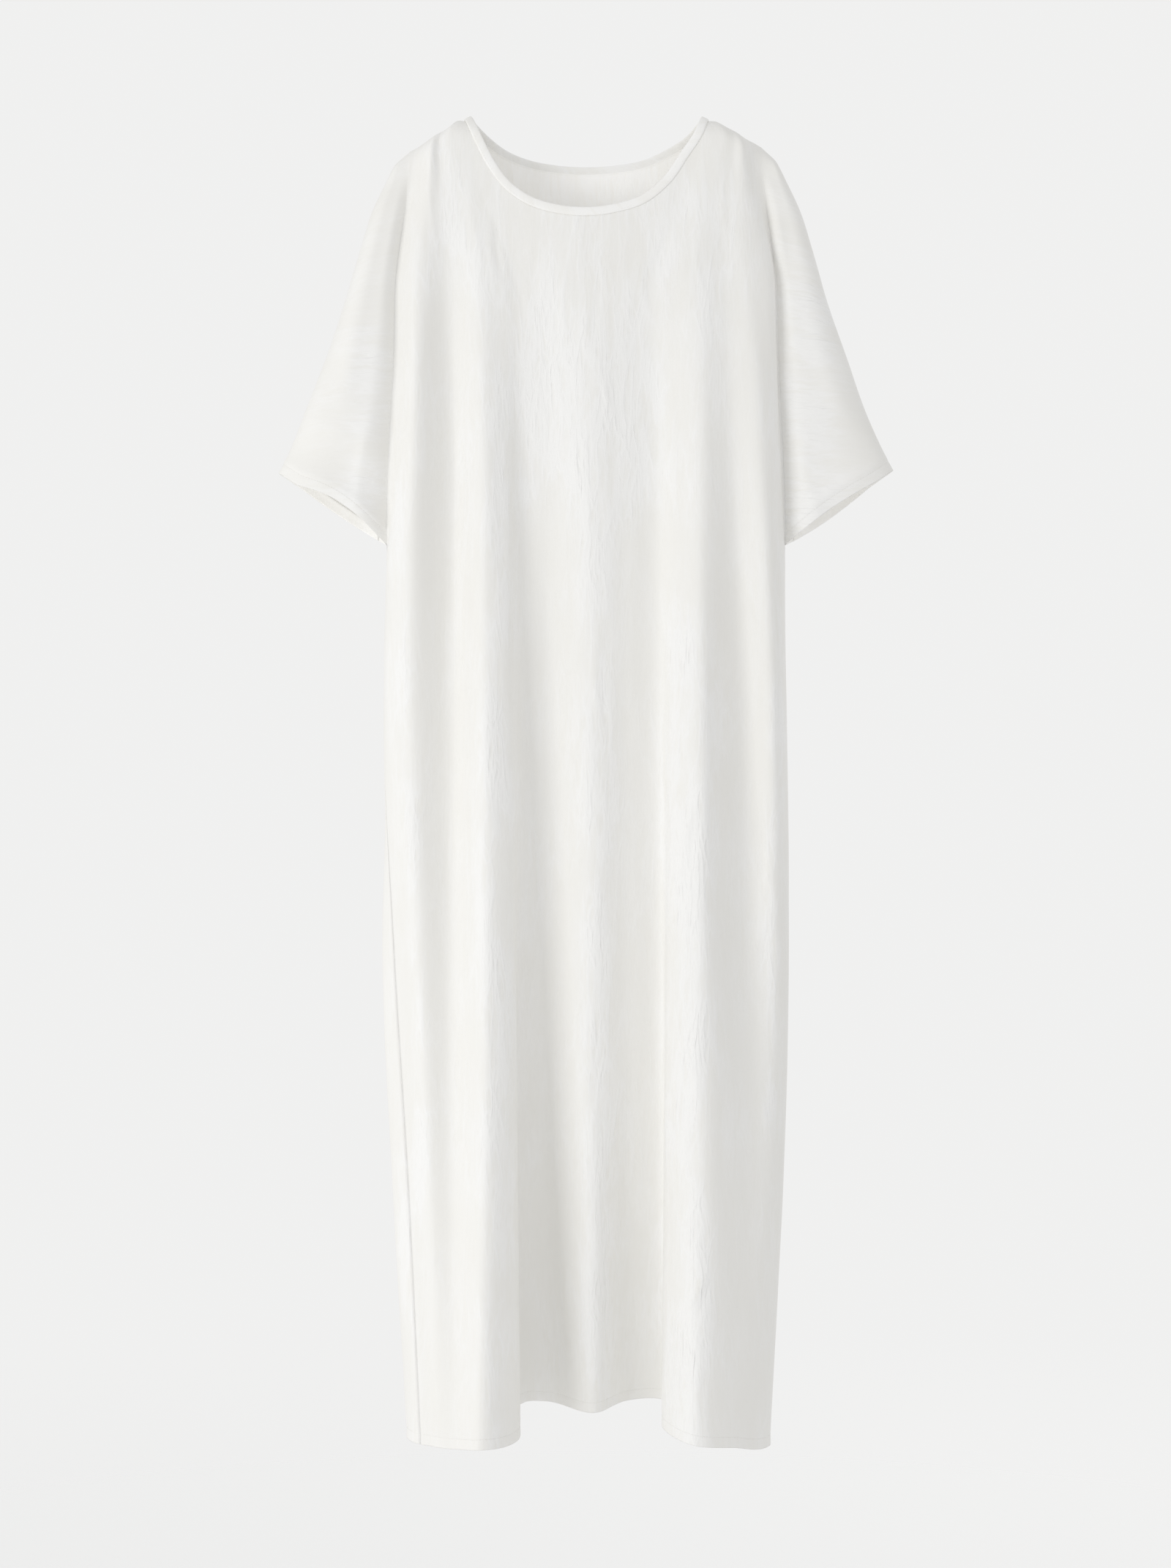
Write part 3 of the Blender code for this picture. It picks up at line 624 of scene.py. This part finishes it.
def make_panel(face, creases, patches, seed):
    """The cloth of one face with both its sleeve halves: its mesh, and its grids of points."""
    place, row = np.meshgrid(column_places(face), row_numbers())
    body = body_points(face, place.ravel(), row.ravel())
    grid = np.arange(len(body)).reshape(place.shape)
    body_grid = body.reshape(*place.shape, 3)
    across, down = run_across(body_grid), run_down(body_grid)
    points = [body]
    quads = [grid_faces(grid, face == "front")]
    positions = [body[:, (0, 2, 1)][quads[0]].reshape(-1, 3)]
    upper = np.searchsorted(row_numbers(), len(TOP_ROWS) - 1 + UPPER_ROWS) + 1
    total = len(body)
    grids = {"body": grid}
    ripple = [np.stack((body[:, 0] + DEPTH_IN_PATTERN * body[:, 1], -body[:, 2]), axis=1)]
    free = [np.ones(len(body))]
    for side in (-1, 1):
        column = grid[:upper, 0 if side == -1 else -1]
        root = body[column]
        reach = (root[:, 2] - root[0, 2]) / (UNDERARM_Z - root[0, 2])
        columns = [root]
        for out in SLEEVE_OUT:
            columns.append(sleeve_points(face, side, root, reach, np.full(len(root), out)))
        sleeve = np.stack(columns, axis=1)
        numbers = total + np.arange(sleeve[:, 1:].shape[0] * len(SLEEVE_OUT))
        numbers = numbers.reshape(-1, len(SLEEVE_OUT))
        total += numbers.size
        sleeve_grid = np.concatenate((column[:, None], numbers), axis=1)
        faces = grid_faces(sleeve_grid, (face == "front") == (side == 1))
        lengths, widths = run_down(sleeve), run_across(sleeve)
        sleeve_flat = np.stack((lengths + SLEEVE_CLOTH_START, widths + side), axis=-1)
        lookup = np.zeros((total, 3))
        lookup[sleeve_grid, :2] = sleeve_flat
        points.append(sleeve[:, 1:].reshape(-1, 3))
        quads.append(faces)
        positions.append(lookup[faces].reshape(-1, 3))
        ripple.append(sleeve_flat[:, 1:].reshape(-1, 2))
        free.append(np.broadcast_to(np.clip(SLEEVE_OUT / 0.1, 0, 1), numbers.shape).ravel())
        grids[side] = sleeve_grid
    points = np.concatenate(points)
    ripple = np.concatenate(ripple)
    free = np.concatenate(free)
    x, z = points[:, 0], points[:, 2]
    crinkle = crinkled(x, z, patches)
    mesh = cloth_mesh(f"{face}_cloth", points, np.concatenate(quads),
                      np.concatenate(positions), crinkle)

    # Soft puckers, held flat along every seam
    to_seam = np.full(len(points), 1.0)
    to_seam[grid] = np.minimum(across - across[:, :1], across[:, -1:] - across)
    to_seam[grid] = np.minimum(to_seam[grid], down)
    for side in (-1, 1):
        numbers = grids[side]
        sleeve = points[numbers]
        from_tip = run_across(sleeve)
        to_seam[numbers] = from_tip[:, -1:] - from_tip
        to_seam[numbers[:, 0]] = 1.0
    held = np.clip(to_seam / HELD_BY_SEAM, 0, 1)
    waves = np.zeros(len(points))
    for i, (rise, width, length) in enumerate(PUCKERS):
        waves += rise * lattice(ripple[:, 0], ripple[:, 1], width, length, seed + i)
    height = waves * MM * (LEAST_PUCKER + (1 - LEAST_PUCKER) * crinkle) * free
    height += creases_at(x, z, creases)
    height *= held
    height -= SEAM_GROOVE[0] * np.exp(-(to_seam / SEAM_GROOVE[1]) ** 2)

    # The turned-up hem and cuffs stand a hair proud of their row of stitches
    edge = np.full(len(points), 1.0)
    edge[grid] = down[-1] - down
    for side in (-1, 1):
        lengths = run_down(points[grids[side]])
        edge[grids[side]] = np.minimum(edge[grids[side]], lengths[-1] - lengths)
    height -= STITCH_GROOVE[0] * np.exp(-((edge - STITCH_ROW) / STITCH_GROOVE[1]) ** 2)
    pucker = lattice(ripple[:, 0], ripple[:, 1], 0.011, 0.5, seed + 3)
    near_edge = np.exp(-((edge - EDGE_RIPPLE_REACH) / EDGE_RIPPLE_REACH) ** 2)
    height += EDGE_RIPPLE * pucker * near_edge * held
    return mesh, push_out(mesh, height), grids


front_mesh, front_points, front_grids = make_panel("front", FRONT_CREASES, FRONT_PATCHES, 11)
# The crepe's white, and the darker, warmer white painted into its crinkles' hollows as painted
# shade
WHITE = (0.905, 0.902, 0.890)
WHITE_IN_PAINTED_SHADE = (0.870, 0.860, 0.828)
panel_crepe = crepe("panel_crepe", WHITE, WHITE_IN_PAINTED_SHADE, 0.80)
# The panels' inner side carries a painted glow, standing in for daylight through the cloth
inner_crepe_painted_glow = crepe("inner_crepe_painted_glow", WHITE, WHITE_IN_PAINTED_SHADE, 0.30, through=0.10)
front_cloth = shell("front_cloth", front_mesh, (panel_crepe, inner_crepe_painted_glow), CLOTH_THICKNESS, -1)
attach(front_cloth, "root")
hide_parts("front_panel")

# Back panel
# The same crepe in one cut with the back half of both sleeves, sewn to the front along the
# shoulders, the sleeves and the sides. It hangs in three soft lobes.
BACK_CREASES = (
    ("yoke left",        -150, -60, -138, -170, 3.0, 0.8),
    ("yoke middle",      -30, -90, -34, -190, 3.0, 0.7),
    ("yoke right",       96, -80, 104, -200, 3.0, 0.8),
    ("shoulder left",    -120, -50, -96, -120, 3.2, -0.7),
    ("shoulder right",   120, -50, 92, -130, 3.2, -0.7),
    ("blade left",       -70, -200, -64, -330, 3.0, 0.8),
    ("blade right",      52, -230, 60, -350, 3.0, 0.8),
    ("waist left",       -90, -470, -84, -590, 2.8, 0.9),
    ("waist middle",     4, -430, -4, -560, 2.8, 0.9),
    ("waist right",      84, -520, 78, -640, 2.8, 0.9),
    ("seat left",        -150, -640, -132, -720, 3.0, 1.0),
    ("seat right",       150, -620, 136, -710, 3.0, 1.0),
    ("lobe left",        -78, -800, -82, -900, 2.6, 0.9),
    ("lobe middle",      2, -760, 8, -880, 2.6, 1.0),
    ("lobe right",       82, -830, 76, -940, 2.6, 0.9),
    ("groove left",      -40, -900, -32, -1010, 2.8, -0.8),
    ("hem left slant",   -120, -1180, -98, -1240, 2.8, 1.1),
    ("hem middle slant", 12, -1200, -6, -1262, 2.8, 1.0),
    ("hem right slant",  140, -1150, 120, -1222, 2.8, 1.2),
    ("left sleeve fold", -206, -80, -246, -340, 12, 1.6),
    ("left sleeve low",  -216, -300, -250, -410, 8, -1.3),
    ("right sleeve fold", 204, -76, 240, -330, 12, 1.6),
    ("right sleeve low", 214, -290, 262, -400, 8, -1.3),
)
BACK_PATCHES = (
    ("yoke",         0, -60, 0, -280, 100, 0.50),
    ("left lobe",    -98, -260, -70, -1330, 14, 0.40),
    ("centre lobe",  -14, -260, 9, -1330, 14, 0.45),
    ("right lobe",   80, -260, 80, -1330, 14, 0.40),
    ("left side",    -186, -440, -180, -1200, 12, 0.35),
    ("right side",   186, -440, 180, -1200, 12, 0.35),
    ("right sleeve", 225, -180, 240, -430, 26, 0.50),
    ("left sleeve",  -225, -180, -240, -430, 26, 0.50),
)
back_mesh, back_points, back_grids = make_panel("back", BACK_CREASES, BACK_PATCHES, 31)
back_cloth = shell("back_cloth", back_mesh, (panel_crepe, inner_crepe_painted_glow), CLOTH_THICKNESS, -1)
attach(back_cloth, "root")
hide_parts("back_panel")

# Turned-up hems and cuffs
# The bottom edge of each panel and the edge of each sleeve half, folded up inside by about
# 11 mm and stitched down. Each is a second layer of the same crepe just behind the first.
FOLD_GAP = 0.00015
FOLD_LAYER = 0.0008
HEM_END_COLUMNS = 9
CUFF_END_COLUMNS = 4
HEM_ROWS_DEEP = 0.0118
CUFF_ROWS_DEEP = 0.0130
TURNED_CRINKLE = 0.35
# The turned layers carry a painted glow, standing in for daylight through the cloth
turned_crepe_painted_glow = crepe("turned_crepe_painted_glow", WHITE, WHITE_IN_PAINTED_SHADE, 0.22, through=0.10)


def turned_edge(name, panel, rows, outward, node):
    """The cloth folded up behind a panel's edge, made from the panel's own last rows."""
    points = panel[rows]
    across, down = run_across(points), run_down(points)
    grid = np.arange(rows.size).reshape(rows.shape)
    quads = grid_faces(grid, outward)
    flat = np.stack((across, down, 0 * down), axis=-1).reshape(-1, 3)
    crinkle = np.full(rows.size, TURNED_CRINKLE)
    mesh = cloth_mesh(name, points.reshape(-1, 3), quads, flat[quads].reshape(-1, 3), crinkle)
    middle = CLOTH_THICKNESS + FOLD_GAP + FOLD_LAYER / 2
    piece = shell(name, mesh, (turned_crepe_painted_glow,), FOLD_LAYER, -2 * middle / FOLD_LAYER)
    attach(piece, "root")
    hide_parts(node)


def rows_near_edge(points, grid, deep):
    """The last rows of a grid whose columns lie within this distance of the edge."""
    lengths = run_down(points[grid])
    away = np.median(lengths[-1] - lengths, axis=1)
    return grid[away <= deep]


for face, points, grids, panel in (("front", front_points, front_grids, front_cloth),
                                   ("back", back_points, back_grids, back_cloth)):
    rows = rows_near_edge(points, grids["body"], HEM_ROWS_DEEP)
    rows = rows[:, HEM_END_COLUMNS:-HEM_END_COLUMNS]
    turned_edge(f"{face}_hem_cloth", points, rows, face == "front", f"{face}_hem_fold")
    for side, label in ((-1, "left"), (1, "right")):
        rows = rows_near_edge(points, grids[side], CUFF_ROWS_DEEP)
        rows = rows[:, CUFF_END_COLUMNS:-CUFF_END_COLUMNS]
        outward = (face == "front") == (side == 1)
        name = f"{face}_cuff_cloth_{label}"
        turned_edge(name, points, rows, outward, f"{face}_cuff_fold_{label}")

# Neck binding
# A bias strip of the crepe folded over the raw edge of the round neck, front and back, and
# stitched through close to its outer edge. It stands a little proud and puckers slightly.
BINDING_WIDTH = 0.0078
BINDING_OVERLAP = 0.0010
BINDING_THICKNESS = 0.0026
BINDING_LEAN = 0.45
BINDING_EASING = 14
BINDING_SIDES = 16
BINDING_PUCKER = 0.10
BINDING_PROUD = 0.0004
BINDING_CRINKLE = 0.55
NECK_COUNT = {"front": 170, "back": 140}


def binding_half(face, count):
    """One half of the neck's sewn line, and the way the binding's width goes from it."""
    first, last = NECK_STATIONS[face]
    place = np.linspace(first, last, count)
    seam, bearing = top_edge(face, place)
    heading = np.gradient(seam, axis=0)
    heading /= np.linalg.norm(heading, axis=1)[:, None]
    inwards = np.stack((-heading[:, 1], heading[:, 0]), axis=1)
    depths = []
    for far in (-BINDING_OVERLAP, BINDING_WIDTH):
        height = np.minimum(seam[:, 1] + inwards[:, 1] * far, bearing)
        y = along(fold_lines(face, height), place)[:, 1]
        depths.append(y * rounding(bearing - height))
    most = BINDING_LEAN * BINDING_WIDTH
    lean = np.clip(depths[1] - depths[0], -most, most)
    low = seam - inwards * BINDING_OVERLAP
    low = np.stack((low[:, 0], depths[0], low[:, 1]), axis=1)
    low[0, 1] = low[-1, 1] = 0
    whole = BINDING_WIDTH + BINDING_OVERLAP
    return low, np.stack((inwards[:, 0] * whole, lean, inwards[:, 1] * whole), axis=1)


def make_binding():
    """The strip as a closed flattened tube, with its sewn line and its two directions there."""
    halves = [binding_half(face, NECK_COUNT[face]) for face in ("front", "back")]
    low, across = [np.concatenate((a, b[::-1][1:-1])) for a, b in zip(*halves)]
    for _ in range(BINDING_EASING):
        across = (np.roll(across, 1, axis=0) + 2 * across + np.roll(across, -1, axis=0)) / 4
    middle = low + across / 2
    half_width = np.linalg.norm(across, axis=1)[:, None] / 2
    across /= 2 * half_width
    forward = np.roll(middle, -1, axis=0) - np.roll(middle, 1, axis=0)
    forward /= np.linalg.norm(forward, axis=1)[:, None]
    outward = np.cross(forward, across)
    outward /= np.linalg.norm(outward, axis=1)[:, None]
    outward *= np.sign(outward[:, 1] * np.where(middle[:, 1] < 0, -1, 1) + 1e-9)[:, None]
    run = np.concatenate(([0], np.cumsum(np.linalg.norm(np.diff(middle, axis=0), axis=1))))
    turns = np.arange(BINDING_SIDES) * 2 * np.pi / BINDING_SIDES
    wide = np.sign(np.cos(turns)) * np.abs(np.cos(turns)) ** 0.8
    deep = np.sign(np.sin(turns)) * np.abs(np.sin(turns)) ** 0.7
    around = 0.3 * np.abs(wide)[None] + 0 * run[:, None]
    pucker = 1 + BINDING_PUCKER * lattice(run[:, None] + 0 * turns, around, 0.006, 0.2, 51)
    out = deep[None] * BINDING_THICKNESS / 2 * pucker + BINDING_PROUD
    points = middle[:, None] + across[:, None] * (half_width * wide[None])[..., None]
    points = points + outward[:, None] * out[..., None]
    count = len(middle)
    grid = np.arange(count * BINDING_SIDES).reshape(count, BINDING_SIDES)
    closed = np.concatenate((grid, grid[:1]))
    closed = np.concatenate((closed, closed[:, :1]), axis=1)
    quads = grid_faces(closed, True)
    u = np.broadcast_to(np.append(run, run[-1] + 0.003)[:, None], closed.shape)
    v = np.broadcast_to(np.append(turns, 2 * np.pi)[None] * 0.0032, closed.shape)
    corner_u = np.stack((u[:-1, :-1], u[1:, :-1], u[1:, 1:], u[:-1, 1:]), axis=-1).reshape(-1)
    corner_v = np.stack((v[:-1, :-1], v[1:, :-1], v[1:, 1:], v[:-1, 1:]), axis=-1).reshape(-1)
    positions = np.stack((corner_u, corner_v, 0 * corner_u), axis=-1)
    mesh = cloth_mesh("neck_binding_cloth", points.reshape(-1, 3), quads, positions,
                      np.full(count * BINDING_SIDES, BINDING_CRINKLE))
    return mesh, low, across, outward


binding_mesh, binding_low, binding_across, binding_outward = make_binding()
# The binding carries a faint painted glow, standing in for daylight through the cloth
bias_crepe_painted_glow = crepe("bias_crepe_painted_glow", WHITE, WHITE_IN_PAINTED_SHADE, 0.16, turn=0.785, through=0.03)
binding_mesh.materials.append(bias_crepe_painted_glow)
binding = placed("neck_binding_cloth", binding_mesh)
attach(binding, "root")
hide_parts("neck_binding")

# Stitches
# White thread, one straight row round each hem and cuff 10 mm up from the edge, and one along
# the binding. Each stitch is 2.4 mm long, half sunk into the cloth.
THREAD_RAISED = 0.00005
NECK_THREAD_RAISED = 0.0001
NECK_ROW_INSET = 0.0021
NECK_ROW_ENDS = 4
HEM_ROW_COLUMNS = slice(2, -2)
CUFF_ROW_COLUMNS = slice(3, -3)


def stitch_tree():
    """Geometry nodes that set stitches along an edge chain."""
    tree = bpy.data.node_groups.new("row_of_stitches", "GeometryNodeTree")
    face = tree.interface
    face.new_socket("Geometry", in_out="INPUT", socket_type="NodeSocketGeometry")
    for name, value in (("Pitch", 0.0031), ("Stitch Length", 0.0024), ("Thread Radius", 0.00022)):
        face.new_socket(name, in_out="INPUT", socket_type="NodeSocketFloat").default_value = value
    face.new_socket("Thread", in_out="INPUT", socket_type="NodeSocketMaterial")
    face.new_socket("Geometry", in_out="OUTPUT", socket_type="NodeSocketGeometry")
    nodes, links = tree.nodes, tree.links
    given = nodes.new("NodeGroupInput")
    result = nodes.new("NodeGroupOutput")
    curve = nodes.new("GeometryNodeMeshToCurve")
    spaced = nodes.new("GeometryNodeResampleCurve")
    spaced.mode = "LENGTH"
    tangent = nodes.new("GeometryNodeInputTangent")
    turn = nodes.new("FunctionNodeAlignRotationToVector")
    turn.axis = "Z"
    ball = nodes.new("GeometryNodeMeshUVSphere")
    for key, value in (("Segments", 6), ("Rings", 4), ("Radius", 1)):
        ball.inputs[key].default_value = value
    size = nodes.new("ShaderNodeCombineXYZ")
    half = nodes.new("ShaderNodeMath")
    half.operation = "MULTIPLY"
    half.inputs[1].default_value = 0.5
    put = nodes.new("GeometryNodeInstanceOnPoints")
    real = nodes.new("GeometryNodeRealizeInstances")
    dress = nodes.new("GeometryNodeSetMaterial")
    links.new(given.outputs["Geometry"], curve.inputs[0])
    links.new(curve.outputs[0], spaced.inputs["Curve"])
    links.new(given.outputs["Pitch"], spaced.inputs["Length"])
    links.new(spaced.outputs[0], put.inputs["Points"])
    links.new(ball.outputs["Mesh"], put.inputs["Instance"])
    links.new(tangent.outputs[0], turn.inputs["Vector"])
    links.new(turn.outputs[0], put.inputs["Rotation"])
    links.new(given.outputs["Stitch Length"], half.inputs[0])
    links.new(given.outputs["Thread Radius"], size.inputs["X"])
    links.new(given.outputs["Thread Radius"], size.inputs["Y"])
    links.new(half.outputs[0], size.inputs["Z"])
    links.new(size.outputs[0], put.inputs["Scale"])
    links.new(put.outputs[0], real.inputs[0])
    links.new(real.outputs[0], dress.inputs["Geometry"])
    links.new(given.outputs["Thread"], dress.inputs["Material"])
    links.new(dress.outputs[0], result.inputs[0])
    return tree


def thread_material():
    """White spun thread with a fine twist."""
    made, nodes, links, shader = new_material("sewing_thread")
    place = nodes.new("ShaderNodeTexCoord")
    twist = nodes.new("ShaderNodeTexNoise")
    twist.inputs["Scale"].default_value = 2600
    colour = nodes.new("ShaderNodeMix")
    colour.data_type = "RGBA"
    colour.inputs["A"].default_value = (0.80, 0.79, 0.755, 1)
    colour.inputs["B"].default_value = (0.88, 0.872, 0.85, 1)
    links.new(place.outputs["Object"], twist.inputs["Vector"])
    links.new(twist.outputs["Fac"], colour.inputs["Factor"])
    links.new(colour.outputs["Result"], shader.inputs["Base Color"])
    shader.inputs["Roughness"].default_value = 0.6
    return made


STITCHES = stitch_tree()
THREAD = thread_material()


def sew(name, lines):
    """Rows of stitches along open lines of points, as one plain mesh."""
    points = np.concatenate(lines)
    edges = []
    start = 0
    for line in lines:
        edges += [(start + k, start + k + 1) for k in range(len(line) - 1)]
        start += len(line)
    mesh = bpy.data.meshes.new(name)
    mesh.from_pydata(points.tolist(), edges, [])
    row = placed(name, mesh)
    modifier = row.modifiers.new("stitches", "NODES")
    modifier.node_group = STITCHES
    for item in STITCHES.interface.items_tree:
        if item.in_out == "INPUT" and item.name == "Thread":
            modifier[item.identifier] = THREAD
    evaluated = row.evaluated_get(bpy.context.evaluated_depsgraph_get())
    made = bpy.data.meshes.new_from_object(evaluated)
    row.modifiers.clear()
    row.data = made
    made.shade_smooth()
    bpy.data.meshes.remove(mesh)
    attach(row, "root")


def stitch_line(points, grid, up, out, columns):
    """The line on a panel's face this far up from its edge, raised a hair out of the cloth."""
    lengths = run_down(points[grid])
    away = np.median(lengths[-1] - lengths, axis=1)
    row = grid[np.argmin(np.abs(away - up))][columns]
    line = points[row]
    heading = np.gradient(line, axis=0)
    raised = np.cross(heading, points[grid[-1]][columns] - points[grid[-4]][columns])
    raised /= np.linalg.norm(raised, axis=1)[:, None]
    return line + raised * out


hem_lines = []
cuff_lines = []
for points, grids, way in ((front_points, front_grids, -1), (back_points, back_grids, 1)):
    hem_lines.append(stitch_line(points, grids["body"], STITCH_ROW, way * THREAD_RAISED,
                                 HEM_ROW_COLUMNS))
for side in (-1, 1):
    for points, grids, way in ((front_points, front_grids, -1), (back_points, back_grids, 1)):
        cuff_lines.append(stitch_line(points, grids[side], STITCH_ROW,
                                      way * side * THREAD_RAISED, CUFF_ROW_COLUMNS))
sew("hem_stitches", hem_lines)
sew("cuff_stitches", cuff_lines)
neck_raised = BINDING_THICKNESS / 2 + NECK_THREAD_RAISED
neck_row = binding_low + binding_across * NECK_ROW_INSET + binding_outward * neck_raised
neck_lines = [neck_row[NECK_ROW_ENDS:NECK_COUNT["front"] - NECK_ROW_ENDS],
              neck_row[NECK_COUNT["front"] + NECK_ROW_ENDS:-NECK_ROW_ENDS]]
sew("neck_stitches", neck_lines)


# Studio
# A plain pale floor that fades out, one soft light from the front left and one from behind in
# a bright white room, and a level camera.
FLOOR_Z = -1.95
FLOOR_RADIUS = 4
FLOOR_SIDES = 64
BACKDROP = (0.873, 0.873, 0.868)


def floor():
    """A round floor that is see-through towards its edge."""
    mesh = bpy.data.meshes.new("studio_floor")
    turns = np.linspace(0, 2 * np.pi, FLOOR_SIDES + 1)[:-1]
    points = [(FLOOR_RADIUS * np.cos(t), FLOOR_RADIUS * np.sin(t), FLOOR_Z) for t in turns]
    mesh.from_pydata(points, [], [tuple(range(FLOOR_SIDES))])
    piece = placed("studio_floor", mesh)
    made, nodes, links, shader = new_material("studio_floor")
    shader.inputs["Base Color"].default_value = (0.95, 0.95, 0.945, 1)
    shader.inputs["Roughness"].default_value = 0.9
    place = nodes.new("ShaderNodeTexCoord")
    distance = nodes.new("ShaderNodeVectorMath")
    distance.operation = "LENGTH"
    flat = nodes.new("ShaderNodeVectorMath")
    flat.operation = "MULTIPLY"
    flat.inputs[1].default_value = (1, 1, 0)
    fade = nodes.new("ShaderNodeMapRange")
    fade.interpolation_type = "SMOOTHSTEP"
    for key, value in (("From Min", 0.3), ("From Max", 3.6), ("To Min", 0.7), ("To Max", 0)):
        fade.inputs[key].default_value = value
    links.new(place.outputs["Object"], flat.inputs[0])
    links.new(flat.outputs[0], distance.inputs[0])
    links.new(distance.outputs["Value"], fade.inputs["Value"])
    links.new(fade.outputs[0], shader.inputs["Alpha"])
    mesh.materials.append(made)
    return piece


def area_light(name, place, target, size, power, colour):
    """A soft light of this size in metres and power in watts, turned towards its target."""
    data = bpy.data.lights.new(name, "AREA")
    data.shape = "RECTANGLE"
    data.size, data.size_y = size
    data.energy = power
    data.color = colour
    light = placed(name, data)
    light.location = place
    light.rotation_euler = (Vector(target) - Vector(place)).to_track_quat("-Z", "Y").to_euler()


floor()
area_light("key_front_left", place=(-2.3, -2.0, -0.75), target=(0, 0, -0.75), size=(1.3, 1.5),
           power=25, colour=(1.0, 0.998, 0.99))
area_light("back_soft", place=(1.6, 3.4, 0.2), target=(0, 0, -0.7), size=(2.4, 2.4),
           power=22, colour=(1.0, 1.0, 1.0))

world = bpy.data.worlds.new("studio")
world.use_nodes = True
nodes, links = world.node_tree.nodes, world.node_tree.links
lit = nodes["Background"]
lit.inputs["Color"].default_value = (1.0, 1.0, 1.0, 1)
lit.inputs["Strength"].default_value = 0.76
seen = nodes.new("ShaderNodeBackground")
seen.inputs["Color"].default_value = (*BACKDROP, 1)
which = nodes.new("ShaderNodeLightPath")
both = nodes.new("ShaderNodeMixShader")
links.new(which.outputs["Is Camera Ray"], both.inputs["Fac"])
links.new(lit.outputs[0], both.inputs[1])
links.new(seen.outputs[0], both.inputs[2])
links.new(both.outputs[0], nodes["World Output"].inputs["Surface"])
bpy.context.scene.world = world
bpy.context.scene.view_settings.view_transform = "Standard"

camera_data = bpy.data.cameras.new("camera")
camera_data.lens = 60
camera_data.sensor_width = 36
camera = placed("camera", camera_data)
camera.location = (0, -2.7, -0.6868)
camera.rotation_euler = (np.pi / 2, 0, 0)
bpy.context.scene.camera = camera
